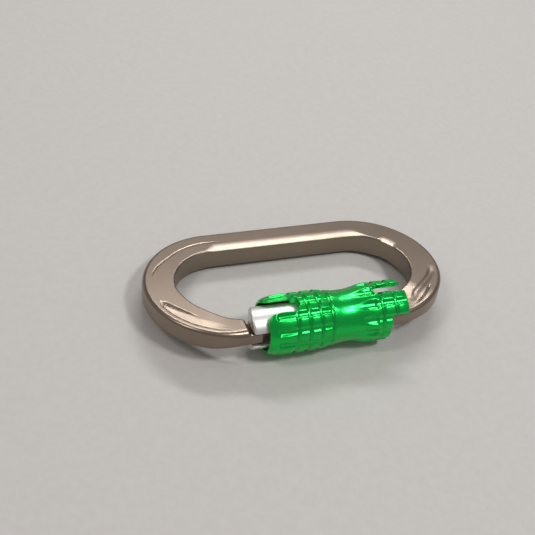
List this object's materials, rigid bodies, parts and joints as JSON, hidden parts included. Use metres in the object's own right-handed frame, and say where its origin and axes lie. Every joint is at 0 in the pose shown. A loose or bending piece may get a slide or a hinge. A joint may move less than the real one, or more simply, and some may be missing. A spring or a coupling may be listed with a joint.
{
  "type": "locking carabiner",
  "caption": "Oval aluminium carabiner with a sprung gate and a sprung locking sleeve that slides and turns on the gate.",
  "frame": {"origin": "Middle of the oval, half way through the frame's thickness, at the rope_opening mount.", "axes": "+X runs along the oval from the nose end to the hinge end, +Y from the gate to the spine, +Z square to the oval's plane."},
  "size_m": [0.11, 0.0603, 0.0204],
  "materials": {
    "titanium_grey": "satin anodised, warm titanium grey",
    "satin_silver": "satin silver",
    "green_anodised": "glossy green anodised",
    "steel": "turned stainless steel",
    "spring_steel": "drawn spring wire",
    "brass": "turned brass",
    "white_acetal": "plain moulded acetal"
  },
  "bodies": {
    "frame": {"frame": "titanium_grey", "hinge_rivet": "steel"},
    "gate": {"gate": "satin_silver", "gate_spring": "spring_steel", "sleeve_spring": "spring_steel", "spring_seat": "steel", "retaining_ring": "spring_steel"},
    "plunger": {"gate_plunger": "brass"},
    "collar": {"thrust_collar": "white_acetal"},
    "sleeve": {"locking_sleeve": "green_anodised", "guide_pin": "steel"}
  },
  "joints": [
    {"name": "gate_swing", "type": "hinge", "parent": "frame", "child": "gate", "pos_m": [0.0235, -0.02175, 0], "axis": [0, 0, -1], "range_deg": [0, 25], "stiffness_Nm_per_rad": 0.3, "springref_deg": -17.19},
    {"name": "plunger_slide", "type": "slide", "parent": "gate", "child": "plunger", "axis": [-1, 0, 0], "range_m": [0, 0.0016], "deforming": ["gate_spring"]},
    {"name": "sleeve_slide", "type": "slide", "parent": "gate", "child": "collar", "axis": [1, 0, 0], "range_m": [0, 0.003], "stiffness_N_per_m": 1000, "springref_m": -0.003, "deforming": ["sleeve_spring"]},
    {"name": "sleeve_turn", "type": "hinge", "parent": "collar", "child": "sleeve", "pos_m": [0, -0.02175, 0], "axis": [1, 0, 0], "range_deg": [0, 90], "stiffness_Nm_per_rad": 0.03, "springref_deg": -28.65}
  ],
  "couplings": [
    {"joint": "plunger_slide", "follows": "gate_swing", "m_per_rad": 0.0035}
  ]
}
